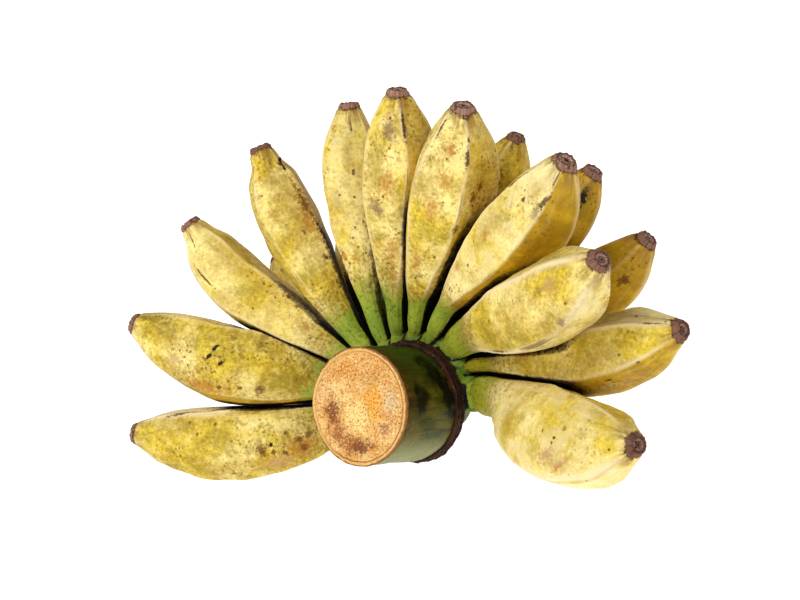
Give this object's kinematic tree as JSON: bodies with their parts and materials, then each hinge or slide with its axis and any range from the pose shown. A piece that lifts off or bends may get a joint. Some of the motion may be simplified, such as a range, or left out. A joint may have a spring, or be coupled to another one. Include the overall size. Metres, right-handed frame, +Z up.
{
  "type": "hand of cooking bananas",
  "caption": "Whole hand of short angular ripe cooking bananas fanned round a sawn piece of the bunch stalk, lying at rest.",
  "frame": {"origin": "on the surface that the hand lies on, under the middle of its box", "axes": "+X along the hand's width, which is its longest extent; -Y towards the sawn end of the stalk; +Z up"},
  "size_m": [0.3786, 0.1328, 0.2261],
  "materials": {
    "peel": "satin",
    "stalk": "satin"
  },
  "bodies": {
    "root": {"stalk": "stalk", "front_finger_1": "peel", "front_finger_2": "peel", "front_finger_3": "peel", "front_finger_4": "peel", "front_finger_5": "peel", "front_finger_6": "peel", "front_finger_7": "peel", "front_finger_8": "peel", "front_finger_9": "peel", "front_finger_10": "peel", "front_finger_11": "peel", "back_finger_1": "peel", "back_finger_2": "peel", "back_finger_3": "peel", "back_finger_4": "peel", "back_finger_5": "peel", "back_finger_6": "peel", "back_finger_7": "peel", "back_finger_8": "peel", "back_finger_9": "peel", "back_finger_10": "peel"}
  },
  "joints": []
}
